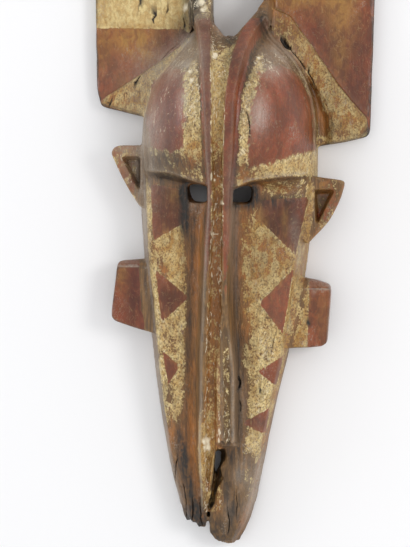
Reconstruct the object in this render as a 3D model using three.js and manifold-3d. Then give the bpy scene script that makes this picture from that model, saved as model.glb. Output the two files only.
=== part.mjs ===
// A long-faced plank mask, carved from one block of wood, lying on its back.
// Millimetres. X runs across the face, Y from the muzzle to the tops of the horn boards,
// and Z out of the face. The back of the rim and of the boards lies at Z = 0.
// The carving is uneven, so the left and the right side have sizes of their own.

import * as THREE from "three";
import { mergeVertices } from "three/addons/utils/BufferGeometryUtils.js";
import Module from "manifold-3d";

const wasm = await Module();
wasm.setup();

// Driving sizes
const TIP_Y = -480;
const TOP_Y = 480;
const BOARD_THICK = 19;
const BOARD_SINK = 6;
const BAND_RAISE = 7;
const RIB_TOP = 34;
const WALL = 13;
const EAR_BACK_Z = 18;
const CUP_DEPTH = 17;
const CUP_TAPER = 0.3;
const TAB_BACK_Z = 14;
const TAB_SHOULDER_Z = 34;
const EYE_BACK_Z = 45;
const EYE_FRONT_Z = 98;
const SPLIT_NARROW_Z = 20;
const SPLIT_FRONT_Z = 62;
const STUB_BACK_Z = 48;
const STUB_FRONT_Z = 76;
// Cuts start below the back and end far above the front
const UNDER = -10;
const THROUGH = 400;

// The most of an edge that the rounding of one corner takes
const MOST_OF_EDGE = 0.45;

// How finely the curved forms are cut into facets
const FACE_STEP = 15;
const MUZZLE_STEP = 7;
const DOME_STEP = 9;
const DOME_POINTS = 42;
const KEEL_STEP = 11;
const CAVITY_STEP = 20;
const CAVITY_POINTS = 18;

// Carved lines: the place across the face, or the height, at stations along Y
const rimLeft = rail([
  [-483, -50], [-449, -62], [-430, -67], [-380, -79], [-306, -93], [-244, -100.5], [-182, -107],
  [-120, -112], [-58, -115.5], [-24, -114.5], [40, -111], [57, -107], [75, -100.5], [93, -91],
  [111, -76], [133, -57], [149, -44], [166, -38],
]);
const rimRight = rail([
  [-483, 0], [-478, 7], [-454, 19.5], [-429, 27], [-380, 37], [-305, 52.5], [-243, 68],
  [-157, 86.5], [-107, 93], [-58, 99.5], [-24, 102], [40, 102], [62, 98.5], [86, 90], [107, 79],
  [122, 66.5], [137, 53], [159, 44], [166, 42],
]);
const crestLeft = rail([
  [-483, -44], [-425, -61], [-362, -74.5], [-300, -82.5], [-239, -88.5], [-178, -93], [-118, -99],
  [-58, -101.5], [0, -101],
]);
const crestRight = rail([
  [-483, -2], [-450, 13], [-425, 19.5], [-361, 32.5], [-300, 45], [-238, 59], [-166, 70],
  [-94, 82], [-58, 89], [0, 95],
]);
const crestHeight = rail([
  [-483, 15], [-475, 22], [-455, 29], [-425, 34], [-361, 41], [-300, 46], [-239, 52], [-118, 58],
  [0, 61],
]);
const valleyLeft = rail([
  [-483, -40], [-430, -49], [-361, -51], [-299, -48.5], [-238, -46.5], [-177, -44], [-57, -42],
  [0, -42],
]);
const valleyRight = rail([
  [-483, -6], [-430, 5], [-360, 9.5], [-238, 10], [-190, 5], [-117, 6], [-57, 9], [0, 10],
]);
const valleyHeight = rail([
  [-483, 18], [-475, 29], [-455, 37], [-430, 42], [-361, 48], [-299, 53], [-238, 60], [-177, 66],
  [-117, 71], [-57, 77], [0, 82],
]);
// The back of the muzzle rises off the plane that the mask lies on
const muzzleLift = rail([[-483, 13], [-455, 10], [-430, 7], [-392, 2], [-360, 0]]);
const PANEL_CROWN = 4;
const WALL_BULGE = 2.5;
const MUZZLE_FINE_Y = -455;

const domeHeight = rail([
  [-45, 112], [-25, 124], [0, 134], [30, 140], [57, 139], [75, 134], [93, 124], [111, 107],
  [133, 77], [149, 46], [166, 20],
]);
const DOME_SQUARE_X = 2.35;
const DOME_SQUARE_Z = 2.15;
const DOME_LOW_Y = -24;
const DOME_TOP_Y = 165;
const DROOP_REACH = 60;
const DROOP_POWER = 1.5;
// The underside of the brow: how far back and how far down each of its rings lies
const UNDERCUT = [[1, 1], [0.62, 0.7], [0.22, 0.35]];
const BURIED = 5;
const browLine = rail([
  [-114, -22], [-94, -24], [-71, -26], [-53, -32], [-27, -39], [4, -43], [23, -36], [38, -33],
  [82, -29], [101, -24],
]);
const browUnderside = rail([
  [-114, 10], [-62, 10], [-50, 4], [30, 4], [40, 12], [60, 20], [101, 24],
]);

const keelHeight = rail([
  [-438, 47], [-422, 54], [-358, 69], [-345, 72], [-296, 82], [-235, 92], [-175, 102],
  [-116, 112], [-57, 128], [-11, 145], [23, 152.5], [57, 154.5], [92, 146], [116, 128],
  [142, 95], [168, 58], [190, 42], [215, RIB_TOP], [TOP_Y, RIB_TOP - 2],
]);
const ridgeLeftOuter = rail([
  [-438, -35.5], [-422, -36.5], [-358, -38], [-296, -36], [-235, -35], [-175, -32],
  [-116, -28.5], [-57, -24], [-31, -24], [-11, -25.5], [57, -27.5], [92, -29.5], [116, -33], [142, -38],
  [168, -47], [TOP_Y, -47],
]);
const ridgeLeftInner = rail([
  [-438, -33.5], [-422, -32], [-358, -32], [-296, -30], [-235, -28], [-175, -24.5],
  [-116, -22.5], [-57, -19], [57, -18.5], [92, -19], [116, -20.5], [142, -24], [168, -24],
]);
const ridgeRightInner = rail([
  [-356, -13.5], [-296, -13], [-235, -12], [-175, -10.5], [-116, -8.5], [-57, -7.5],
  [-11, -6.5], [23, -5], [57, -3], [92, 0], [116, 5], [142, 13], [168, 30],
]);
const ridgeRightOuter = rail([
  [-356, 4.5], [-296, 4.5], [-262, 4.2], [-222, 0.5], [-175, -3], [-116, -1.5], [-57, 0.5],
  [-11, 4.5], [23, 6.5], [57, 8], [92, 14], [116, 19], [142, 29], [168, 44], [TOP_Y, 46],
]);
const footLeft = rail([
  [-438, -38], [-422, -43], [-361, -51], [-299, -48.5], [-238, -46.5], [-177, -44],
  [-80, -39], [-57, -31], [-20, -30], [57, -31.5], [92, -34], [116, -39], [142, -46],
  [168, -56], [TOP_Y, -54],
]);
const footRight = rail([
  [-356, 10.5], [-262, 10.5], [-190, 6.5], [-117, 6], [-57, 8], [-20, 9], [23, 11], [57, 13.5],
  [92, 23], [116, 31], [142, 41], [168, 52], [TOP_Y, 52],
]);
const grooveEnd = rail([
  [-438, -32], [-415, -27.5], [-394, -24], [-371, -21], [-345, -14],
]);
// Below the face's middle the groove narrows, and a thin lip and a shallow channel flank it
const lipHeight = rail([[-420, 0], [-395, 6], [-345, 9], [-262, 8], [-215, 0]]);
const channelDepth = rail([[-262, 3.5], [-215, 0]]);
const LIP_WIDTH = 3;
const SLIT_WIDTH = 1.6;
const GROOVE_DEPTH = 11;
const FOOT_SINK = 7;
const DOME_SINK = 14;
const DOME_FOOT_Y = -30;
const SLIT_LOW_Y = -262;
const SLIT_HIGH_Y = -222;
const RIDGE_SHORT = 6;
const EDGE_BEVEL = 1.5;
const BAR_END_Y = -356;
const BAR_FOOT_Z = 53;
const SPLIT_TOP_Y = -345;
const BLADE_END_Y = -438;
const KEEL_TOP_Y = 168;
const NOTCH_LEFT_X = -23;
const EDGE_ROUND = 2;
const FLANK_OUT = 0.62;
const FLANK_UP = 0.45;

const cavityHeight = rail([
  [-392, 8], [-361, 24], [-300, 34], [-240, 41], [-177, 47], [-117, 53], [-62, 60], [-40, 72],
  [-15, 98], [10, 114], [45, 120], [70, 112], [92, 92], [108, 64], [120, 30], [126, 10],
]);
const CAVITY_BOTTOM_Y = -392;
const CAVITY_TOP_Y = 126;
const CAVITY_SQUARE = 0.8;
const CAVITY_NARROWEST = 0.55;

// Tools for shaping

// A smooth line through stations, which never swings past them
function rail(stations) {
  const last = stations.length - 1;
  const rise = (i) => (stations[i + 1][1] - stations[i][1]) / (stations[i + 1][0] - stations[i][0]);
  const slope = (i) => {
    if (i === 0) return rise(0);
    if (i === last) return rise(last - 1);
    const before = rise(i - 1);
    const after = rise(i);
    return before * after <= 0 ? 0 : (2 * before * after) / (before + after);
  };
  return (place) => {
    if (place <= stations[0][0]) return stations[0][1];
    if (place >= stations[last][0]) return stations[last][1];
    const i = stations.findIndex(([at]) => at > place) - 1;
    const span = stations[i + 1][0] - stations[i][0];
    const t = (place - stations[i][0]) / span;
    const t2 = t * t;
    const t3 = t2 * t;
    return (
      stations[i][1] * (2 * t3 - 3 * t2 + 1) +
      stations[i + 1][1] * (3 * t2 - 2 * t3) +
      slope(i) * span * (t3 - 2 * t2 + t) +
      slope(i + 1) * span * (t3 - t2)
    );
  };
}

// Even places from one end to the other, no further apart than the step
function places(from, to, step) {
  const count = Math.ceil((to - from) / step);
  return Array.from({ length: count + 1 }, (_, i) => from + ((to - from) * i) / count);
}

// The sides of a body skinned over rings of one length
function sides(rings) {
  const size = rings[0].length;
  const index = [];
  rings.slice(1).forEach((_, r) => {
    for (let i = 0; i < size; i++) {
      const a = r * size + i;
      const b = r * size + ((i + 1) % size);
      index.push(a, b, b + size, a, b + size, a + size);
    }
  });
  return index;
}

function indexed(points, index) {
  const geometry = new THREE.BufferGeometry();
  geometry.setAttribute("position", new THREE.Float32BufferAttribute(points.flat(), 3));
  geometry.setIndex(index);
  return geometry;
}

function signedVolume(position, index) {
  const [a, b, c] = [new THREE.Vector3(), new THREE.Vector3(), new THREE.Vector3()];
  let sum = 0;
  for (let i = 0; i < index.count; i += 3) {
    a.fromBufferAttribute(position, index.getX(i));
    b.fromBufferAttribute(position, index.getX(i + 1));
    c.fromBufferAttribute(position, index.getX(i + 2));
    sum += a.dot(b.cross(c));
  }
  return sum;
}

// A closed geometry as a solid that can be joined and cut, with its faces pointing out
function solid(geometry) {
  const bare = new THREE.BufferGeometry();
  bare.setAttribute("position", geometry.getAttribute("position"));
  bare.setIndex(geometry.getIndex());
  const { attributes, index } = mergeVertices(bare, 1e-3);
  const corners = Uint32Array.from(index.array);
  if (signedVolume(attributes.position, index) < 0) corners.reverse();
  return new wasm.Manifold(
    new wasm.Mesh({ numProp: 3, vertProperties: attributes.position.array, triVerts: corners }),
  );
}

// A body of rings along Y, closed at each end by a fan from a point low in its middle
function lengthwise(rings) {
  const size = rings[0].length;
  const points = rings.flat();
  const index = sides(rings);
  for (const [start, turned] of [[0, true], [(rings.length - 1) * size, false]]) {
    const ring = points.slice(start, start + size);
    const [xs, ys, zs] = [0, 1, 2].map((axis) => ring.map((p) => p[axis]));
    const hub = points.length;
    const low = Math.min(...zs);
    points.push([
      (Math.min(...xs) + Math.max(...xs)) / 2,
      (Math.min(...ys) + Math.max(...ys)) / 2,
      low + (Math.max(...zs) - low) / 8,
    ]);
    for (let i = 0; i < size; i++) {
      const [a, b] = [start + i, start + ((i + 1) % size)];
      index.push(...(turned ? [hub, b, a] : [hub, a, b]));
    }
  }
  return solid(indexed(points, index));
}

// A prism between two outlines of as many points, one at each height
function tapered(lower, lowZ, upper, highZ) {
  const rings = [[lower, lowZ], [upper, highZ]].map(([ring, z]) => ring.map(([x, y]) => [x, y, z]));
  const index = sides(rings);
  rings.forEach((ring, end) => {
    const contour = ring.map(([x, y]) => new THREE.Vector2(x, y));
    const turned = THREE.ShapeUtils.isClockWise(contour) === (end === 0);
    for (const [a, b, c] of THREE.ShapeUtils.triangulateShape(contour, [])) {
      index.push(...(turned ? [a, b, c] : [a, c, b]).map((i) => i + end * ring.length));
    }
  });
  return solid(indexed(rings.flat(), index));
}

function upright(outline, lowZ, highZ) {
  return tapered(outline, lowZ, outline, highZ);
}

// An outline whose corners are rounded, each by a radius of its own, as far as its edges allow
function rounded(corners, cuts = 4) {
  const points = [];
  corners.forEach(([x, y, radius = 0], i) => {
    const here = new THREE.Vector2(x, y);
    if (radius === 0) {
      points.push([x, y]);
      return;
    }
    const [from, to] = [corners.at(i - 1), corners[(i + 1) % corners.length]].map(([px, py]) => {
      const edge = new THREE.Vector2(px, py).sub(here);
      return edge.setLength(Math.min(radius, MOST_OF_EDGE * edge.length())).add(here);
    });
    const curve = new THREE.QuadraticBezierCurve(from, here, to);
    points.push(...curve.getPoints(cuts).map((p) => [p.x, p.y]));
  });
  return points;
}

function joined(solids) {
  return solids.reduce((all, next) => all.add(next));
}

// The face: two long panels between the side walls and the keel

function facePoints(y) {
  const side = (rim, crest, valley) => {
    const top = crestHeight(y);
    const low = valleyHeight(y);
    const out = Math.sign(rim - crest) * WALL_BULGE;
    const panel = [0.25, 0.5, 0.75].map((t) => [
      THREE.MathUtils.lerp(crest, valley, t),
      THREE.MathUtils.lerp(top, low, t) + PANEL_CROWN * Math.sin(Math.PI * t),
    ]);
    return [
      [rim, muzzleLift(y)],
      [(rim + crest) / 2 + out, (top + muzzleLift(y)) / 2],
      [crest, top],
      ...panel,
      [valley, low],
    ];
  };
  const left = side(rimLeft(y), crestLeft(y), valleyLeft(y));
  const right = side(rimRight(y), crestRight(y), valleyRight(y));
  return [...left, ...right.reverse()];
}

function faceHeight(x, y) {
  const points = facePoints(y);
  const i = points.findIndex(([px]) => px > x);
  if (i < 1) return 0;
  const [[x0, z0], [x1, z1]] = [points[i - 1], points[i]];
  return THREE.MathUtils.mapLinear(x, x0, x1, z0, z1);
}

function face() {
  const ends = places(TIP_Y - 3, MUZZLE_FINE_Y, MUZZLE_STEP);
  const rest = places(MUZZLE_FINE_Y, 0, FACE_STEP).slice(1);
  return lengthwise([...ends, ...rest].map((y) => facePoints(y).map(([x, z]) => [x, y, z])));
}

// The forehead: a dome whose lower edge is the brow, drooping towards the keel

function domeRing(y) {
  const middle = (rimLeft(y) + rimRight(y)) / 2;
  const reach = (rimRight(y) - rimLeft(y)) / 2;
  return Array.from({ length: DOME_POINTS + 1 }, (_, i) => {
    const angle = Math.PI * (1 - i / DOME_POINTS);
    const across = Math.cos(angle);
    const up = Math.max(0, Math.sin(angle));
    const x = middle + reach * Math.sign(across) * Math.abs(across) ** (2 / DOME_SQUARE_X);
    return [x, y, domeHeight(y) * up ** (2 / DOME_SQUARE_Z)];
  });
}

function dome() {
  const rings = places(DOME_LOW_Y, DOME_TOP_Y, DOME_STEP).map((y) =>
    domeRing(y).map(([x, , z]) => {
      const fading = Math.max(0, 1 - (y - DOME_LOW_Y) / DROOP_REACH) ** DROOP_POWER;
      return [x, y + (browLine(x) - DOME_LOW_Y) * fading, z];
    }),
  );
  const below = UNDERCUT.map(([back, down]) =>
    rings[0].map(([x, y, z]) => {
      const footY = y - back * browUnderside(x);
      const deep = Math.min(z, Math.max(0, faceHeight(x, footY) - BURIED));
      return [x, footY, THREE.MathUtils.lerp(z, deep, down)];
    }),
  );
  return lengthwise([...below, ...rings]);
}

// The keel: two ridges with a groove between, which part at the top to edge the boards

function leftRidge() {
  const rings = places(BLADE_END_Y, TOP_Y - RIDGE_SHORT, KEEL_STEP).map((y) => {
    const top = keelHeight(y);
    const low = ridgeBase(y);
    const floor = Math.max(low + 1, top - GROOVE_DEPTH);
    const [foot, outer, inner] = [footLeft(y), ridgeLeftOuter(y), ridgeLeftInner(y)];
    const side = grooveSide(y);
    const lip = floor + lipHeight(y);
    return [
      [foot, y, low],
      [THREE.MathUtils.lerp(foot, outer, FLANK_OUT), y, THREE.MathUtils.lerp(low, top, FLANK_UP)],
      [outer, y, top - EDGE_ROUND],
      [outer + EDGE_BEVEL, y, top],
      [inner - EDGE_BEVEL, y, top],
      [inner, y, top - EDGE_BEVEL],
      [inner + EDGE_BEVEL, y, floor],
      [Math.max(inner + 2, side - LIP_WIDTH - 0.7), y, floor],
      [Math.max(inner + 2.4, side - LIP_WIDTH), y, lip],
      [Math.max(inner + 3, side), y, lip],
      [Math.max(inner + 3, side), y, low],
    ];
  });
  return lengthwise(rings);
}

// How far the groove's floor reaches to the right: under the other ridge, or to the slit or split
function grooveSide(y) {
  if (y >= KEEL_TOP_Y) return NOTCH_LEFT_X;
  if (y < SPLIT_TOP_Y) return grooveEnd(y);
  const open = THREE.MathUtils.smoothstep(y, SLIT_LOW_Y, SLIT_HIGH_Y);
  return ridgeRightInner(y) + THREE.MathUtils.lerp(-SLIT_WIDTH, 1, open);
}

function rightRidge() {
  const rings = places(BAR_END_Y, TOP_Y - RIDGE_SHORT, KEEL_STEP).map((y) => {
    const top = keelHeight(y);
    const low = ridgeBase(y);
    const [foot, outer] = [footRight(y), ridgeRightOuter(y)];
    const inner = Math.min(ridgeRightInner(y), outer - 5);
    return [
      [inner, y, low],
      [inner, y, top - EDGE_BEVEL],
      [inner + 1, y, top],
      [THREE.MathUtils.lerp(inner, outer, 0.25), y, top],
      [THREE.MathUtils.lerp(inner, outer, 0.4), y, top - channelDepth(y)],
      [THREE.MathUtils.lerp(inner, outer, 0.6), y, top - channelDepth(y)],
      [THREE.MathUtils.lerp(inner, outer, 0.75), y, top],
      [outer - EDGE_BEVEL, y, top],
      [outer, y, top - EDGE_ROUND],
      [THREE.MathUtils.lerp(foot, outer, FLANK_OUT), y, THREE.MathUtils.lerp(low, top, FLANK_UP)],
      [foot, y, low],
    ];
  });
  return lengthwise(rings);
}

// Where the ridges' foot is buried: in the face, in the dome or in a board
function ridgeBase(y) {
  const inFace = valleyHeight(y) - FOOT_SINK;
  const inDome = domeHeight(y) - DOME_SINK;
  const blend = THREE.MathUtils.smoothstep(y, DOME_FOOT_Y, 0);
  return Math.max(BOARD_THICK - BOARD_SINK, THREE.MathUtils.lerp(inFace, inDome, blend));
}

// The horn boards, each with a raised band from its lower outer corner to the notch

function boards() {
  const left = rounded([
    [-171, TOP_Y - 9, 14], [-169, 190, 60], [-167.5, 78, 8], [-162, 56, 5], [-110, 43], [-60, 60],
    [-26, 120], [-26, TOP_Y, 9], [-70, TOP_Y],
  ]);
  const right = rounded([
    [37, TOP_Y, 9], [37, 120], [60, 30], [102, 7], [137, 12, 12], [165, 19, 7],
    [170.5, 190, 60], [174, TOP_Y - 9, 14], [80, TOP_Y],
  ]);
  const leftBand = rounded([
    [-160, 59], [-156, 67], [-101, 102], [-79, 116], [-57, 134], [-38, 160], [-30, 120],
    [-100, 55], [-110, 44.5],
  ]);
  const rightBand = [
    [42, 176], [68, 164], [98, 122], [123, 86], [142, 62], [161, 41], [163, 26], [154, 17],
  ];
  const raised = BOARD_THICK + BAND_RAISE;
  const middle = BOARD_THICK / 2;
  return joined([
    upright(left, 0, BOARD_THICK),
    upright(right, 0, BOARD_THICK),
    upright(leftBand, middle, raised),
    tapered(
      [...rightBand, [101, 9], [101, 40], [92, 74], [62, 110], [42, 140]],
      middle,
      [...rightBand, [120, 11], [117, 40], [104, 72], [74, 112], [46, 146]],
      raised,
    ),
  ]);
}

// The ears: triangular cups on the sides of the head

function ear(outline, hollow, front) {
  const middle = hollow.reduce(([sx, sy], [x, y]) => [sx + x / 3, sy + y / 3], [0, 0]);
  const inner = hollow.map(([x, y]) => [
    THREE.MathUtils.lerp(x, middle[0], CUP_TAPER),
    THREE.MathUtils.lerp(y, middle[1], CUP_TAPER),
  ]);
  const cup = tapered(inner, front - CUP_DEPTH, hollow, front + 1);
  return upright(rounded(outline), EAR_BACK_Z, front).subtract(cup);
}

function ears() {
  const left = ear(
    [[-98, 8], [-140, 8, 4], [-147, 0, 4], [-142, -14, 8], [-129, -40, 12], [-113, -65], [-98, -75]],
    [[-135, -5], [-111, -5], [-111, -52]],
    48,
  );
  const right = ear(
    [[88, -28], [107, -31, 4], [136, -35, 6], [130, -57, 12], [116, -84, 12], [90, -111], [80, -100]],
    [[98, -45], [123, -45], [100, -92]],
    50,
  );
  return joined([left, right]);
}

// The tabs: blocks on the sides of the face, bevelled along their upper edge

function tab(outline, bevel, front) {
  const lower = rounded(outline);
  const top = Math.max(...outline.map(([, y]) => y));
  const upper = lower.map(([x, y]) => [x - Math.sign(x), Math.min(y, top - bevel)]);
  const shoulder = tapered(lower, TAB_SHOULDER_Z, upper, front);
  return upright(lower, TAB_BACK_Z, TAB_SHOULDER_Z).add(shoulder);
}

function tabs() {
  const left = tab(
    [[-90, -129], [-141, -132, 7], [-149, -203, 8], [-121, -213, 7], [-90, -222]],
    11,
    44,
  );
  const right = tab(
    [[75, -150], [103, -155, 8], [119.5, -161, 7], [114.5, -234, 7], [88, -236], [60, -237]],
    14,
    45,
  );
  return joined([left, right]);
}

// What is cut away

function cavity() {
  const rings = places(CAVITY_BOTTOM_Y, CAVITY_TOP_Y, CAVITY_STEP).map((y) => {
    const narrow = THREE.MathUtils.smoothstep(y, CAVITY_BOTTOM_Y - 30, CAVITY_BOTTOM_Y + 50);
    const closing = THREE.MathUtils.smoothstep(y, 60, CAVITY_TOP_Y + 12);
    const middle = (rimLeft(y) + rimRight(y)) / 2;
    const wide = (rimRight(y) - rimLeft(y)) / 2 - WALL - 6 * closing;
    const reach = wide * THREE.MathUtils.lerp(CAVITY_NARROWEST, 1, narrow);
    const arch = Array.from({ length: CAVITY_POINTS + 1 }, (_, i) => {
      const angle = Math.PI * (1 - i / CAVITY_POINTS);
      const across = Math.sign(Math.cos(angle)) * Math.abs(Math.cos(angle)) ** CAVITY_SQUARE;
      const up = Math.max(0, Math.sin(angle)) ** CAVITY_SQUARE;
      return [middle + reach * across, y, cavityHeight(y) * up];
    });
    return [[middle - reach, y, UNDER], ...arch, [middle + reach, y, UNDER]];
  });
  return lengthwise(rings);
}

function eyeHoles() {
  const hole = (low, high) => {
    const box = ([x0, y0, x1, y1]) => rounded([[x0, y0, 8], [x1, y0, 8], [x1, y1, 6], [x0, y1, 6]]);
    return tapered(box(low), EYE_BACK_Z, box(high), EYE_FRONT_Z);
  };
  return joined([
    hole([-45, -58, -27, -37], [-56, -64, -26, -40]),
    hole([-3, -58, 20, -40], [-3, -65, 29, -41]),
  ]);
}

// The open notch between the boards, where the two ridges part
function notch() {
  return upright(
    [
      [-25.5, TOP_Y + 10], [-25, 157], [-16, 146], [-9, 136], [-1, 132], [6, 136], [18, 153],
      [36.5, 180], [36.5, TOP_Y + 10],
    ],
    UNDER,
    THROUGH,
  );
}

// The muzzle is broken: ragged on the left, rounded on the right, with a slot between
function brokenEnd() {
  return upright(
    [
      [-120, -500], [-120, -434], [-63, -434], [-61, -446], [-57, -453], [-52, -448], [-49, -451],
      [-44, -453], [-41, -459], [-34, -457], [-31.5, -448], [-31.5, -438], [-28.5, -438],
      [-28.5, -464], [-25, -470], [-19, -476], [-10, -479.6], [0, TIP_Y], [8, -475], [14, -465],
      [20, -450], [60, -440], [60, -500],
    ],
    UNDER,
    THROUGH,
  );
}

// The split that runs up from the slot: narrow behind, and wider in front, where wood has come away
function split() {
  const low = [
    [-31.5, -444], [-26.8, -415], [-24, -394], [-21.5, -366], [-15.5, -366], [-16.5, -382], [-20.5, -390],
    [-23, -402], [-25.2, -413], [-26.6, -427], [-28.5, -444],
  ];
  const high = [
    [-31.5, -444], [-27, -415], [-24, -394], [-20, -358], [-5, -356], [-4, -366], [-11, -375],
    [-6, -400], [-14, -413], [-17, -428], [-27, -444],
  ];
  return upright(low, UNDER, SPLIT_NARROW_Z).add(tapered(low, SPLIT_NARROW_Z, high, SPLIT_FRONT_Z));
}

// The bar between the groove and the right cheek is broken off short and ragged
function barEnd() {
  const teeth = [
    [-20, -366], [-20, -349], [-14, -351], [-11, -344], [-7, -352], [-3, -346], [1, -351],
    [4, -347], [8, -356], [8, -366],
  ];
  return upright(teeth, BAR_FOOT_Z, THROUGH);
}

// A short stub stands in the notch, under the boards
function stub() {
  return tapered(
    [[-8, 122], [4, 122], [5, 138], [-7, 140]],
    STUB_BACK_Z,
    [[-6, 120], [3, 120], [4, 134], [-5, 136]],
    STUB_FRONT_Z,
  );
}

// The whole mask, one piece of wood

function carved() {
  const wood = joined([face(), dome(), leftRidge(), rightRidge()])
    .subtract(notch())
    .add(boards())
    .add(stub())
    .add(ears())
    .add(tabs());
  const hollow = joined([cavity(), eyeHoles(), brokenEnd(), split(), barEnd()]);
  return wood.subtract(hollow);
}

function toGeometry(manifold) {
  const { vertProperties, triVerts, numProp } = manifold.getMesh();
  const geometry = new THREE.BufferGeometry();
  const position = new Float32Array((vertProperties.length / numProp) * 3);
  for (let i = 0; i < position.length / 3; i++) {
    position.set(vertProperties.subarray(i * numProp, i * numProp + 3), i * 3);
  }
  geometry.setAttribute("position", new THREE.BufferAttribute(position, 3));
  geometry.setIndex([...triVerts]);
  return geometry;
}

const paintedWood = new THREE.MeshStandardMaterial({
  name: "painted wood",
  color: new THREE.Color(0.36, 0.2, 0.11),
  roughness: 0.75,
  metalness: 0,
});

const mask = new THREE.Mesh(toGeometry(carved()), paintedWood);
mask.name = "mask";

const part = new THREE.Group();
part.add(mask);

export default part;
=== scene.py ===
"""A long-faced plank mask of carved and painted wood, lying on its back, seen from above."""

import math

import bmesh
import bpy
import numpy as np
from mathutils import Matrix, Vector
from mathutils.bvhtree import BVHTree
from mathutils.kdtree import KDTree


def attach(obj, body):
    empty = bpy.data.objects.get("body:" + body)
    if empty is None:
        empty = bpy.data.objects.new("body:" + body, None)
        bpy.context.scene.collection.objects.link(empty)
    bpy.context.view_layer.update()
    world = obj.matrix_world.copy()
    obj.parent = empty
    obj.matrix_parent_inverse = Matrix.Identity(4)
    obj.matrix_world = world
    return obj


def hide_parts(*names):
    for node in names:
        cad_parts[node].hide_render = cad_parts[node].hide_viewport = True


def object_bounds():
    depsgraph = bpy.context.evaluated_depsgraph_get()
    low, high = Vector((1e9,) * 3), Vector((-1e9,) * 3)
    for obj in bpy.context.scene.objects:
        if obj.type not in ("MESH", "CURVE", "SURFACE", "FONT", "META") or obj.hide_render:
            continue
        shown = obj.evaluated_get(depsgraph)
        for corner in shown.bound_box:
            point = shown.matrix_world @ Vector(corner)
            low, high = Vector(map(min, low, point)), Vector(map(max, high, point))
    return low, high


# x runs to the photo's right, y up the mask and z up from the floor
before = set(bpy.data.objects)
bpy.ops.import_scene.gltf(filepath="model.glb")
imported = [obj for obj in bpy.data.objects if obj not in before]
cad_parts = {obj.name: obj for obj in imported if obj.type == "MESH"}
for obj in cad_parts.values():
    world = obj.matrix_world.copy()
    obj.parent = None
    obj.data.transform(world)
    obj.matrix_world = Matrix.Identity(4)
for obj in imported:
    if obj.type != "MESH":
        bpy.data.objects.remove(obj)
cad_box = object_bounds()
MM = 0.001
MM_PER_M = 1000

# The camera: the photo's height in pixels, its scale at the mask, the sensor in millimetres, and the angles
FRAME_HIGH_PX = 547
MM_PER_PX = 1.2
SENSOR = 36.0
YAW = math.radians(4.0)
PITCH = math.radians(3.0)

# The point that the camera looks at, and how far it stands from there, in metres
TARGET = Vector((-0.0322, -0.146, 0.060))
DISTANCE = 2.2

# The studio in metres: a bright room, lamps with their name, place, size, power and colour, and the floor
ROOM_STRENGTH = 0.91
LIT_PLACE = (0, 0, 0.05)
LAMPS = (
    ("softbox", (1.5, 0.28, 1.8), 0.85, 13.5, (1, 0.98, 0.97)),
    ("side", (-2.4, 0.5, 0.8), 1.6, 17, (0.88, 0.94, 1)),
)
FLOOR_REACH = 6.0
FLOOR_Z = -0.0004
FLOOR_COLOUR = (0.88, 0.88, 0.89, 1)
FLOOR_ROUGHNESS = 0.8

# The fine mesh: lengths in millimetres, triangles before the cracks, and the least bend of a sharp edge
VOXEL = 1.4
TRIANGLES = 148000
SHARP = math.radians(28)
EDGE_STEP = 2.0
TINY = 1e-9

# Cracks and dents: how far round them the triangles are finer and how often, where, and their form
CRACK_REACH = 4.0
DENT_REACH = 2.0
CRACK_ROUNDS = 2
DENT_LONG = 0.01
FINE_FACING_UP = 0.15
CRACKED_FACING_UP = 0.1
CRACK_TIP = 0.05
CRACK_SIDES = 0.7

# Smoothing: the share of the way that a point moves in one round, and the rounds of each use
SHARE = 0.5
ALL_ROUNDS = 2
FACET_ROUNDS = 30
HIDDEN_ROUNDS = 3
CONVEX_ROUNDS = 8
NEAR_ROUNDS = 6
FAR_ROUNDS = 34

# How far from a sharp edge the facets begin to be rounded, and where fully, in millimetres
FACET_CLEAR = (1.0, 7.0)

# Rays that look for wood above a point: which way it faces at most, and how far off it they start
LEANING = 0.35
OFF_SURFACE = 1.5
OFF_ABOVE = (0, 0, 0.5)

# Random marks: the size of each in millimetres, one number or along x, y and z, and its seed
SWELLS = (48, 1)
RIPPLES = ((13, 30, 13), 2)
FIBRES = ((2.6, 38, 2.6), 3)
SCOOPS = ((15, 26, 15), 4)
WORN_RIPPLES = ((6, 20, 6), 7)
WORN_PITS = ((4, 6, 4), 8)
CHIPS = ((11, 17, 11), 9)
SPLINTERS = ((2.2, 30, 2.2), 10)
CRUMBS = (3, 11)
CRACK_BENDS = ((7, 21), (9, 22))
MUZZLE_STAINS = ((12, 40, 12), 31)
CHIP_BORDERS = (2.5, 41)
EAR_PATCHES = ((8, 13, 8), 61)

# How deep the marks go, in millimetres
SWELL_DEEP = 0.40
RIPPLE_DEEP = 0.20
FIBRE_DEEP = 0.09
FIBRE_DEEP_WORN = 0.28
SCOOP_DEEP = 0.35
SCOOP_DEEP_BEHIND = 1.5
WORN_RIPPLE_DEEP = 0.5
PIT_DEEP = 0.9
CHIP_DEEP = 0.9
SPLINTER_DEEP = 1.1
CRUMB_DEEP = 0.6
CRACK_BEND = 0.7

# Scoops, in cells of their grid: how far from its middle each leaves the wood as it was, and the scatter
SCOOP_LEVEL = 0.55
SCOOP_SCATTER = 0.42

# Large odd numbers that scatter the random marks, and masks that keep a number's low bits
MIX_X = 73856093
MIX_Y = 19349663
MIX_Z = 83492791
MIX_SEED = 2654435
MIX_AGAIN = 1274126177
MIX_LAST = 668265263
LOW_32_BITS = 0xFFFFFFFF
LOW_16_BITS = 0xFFFF

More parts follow.
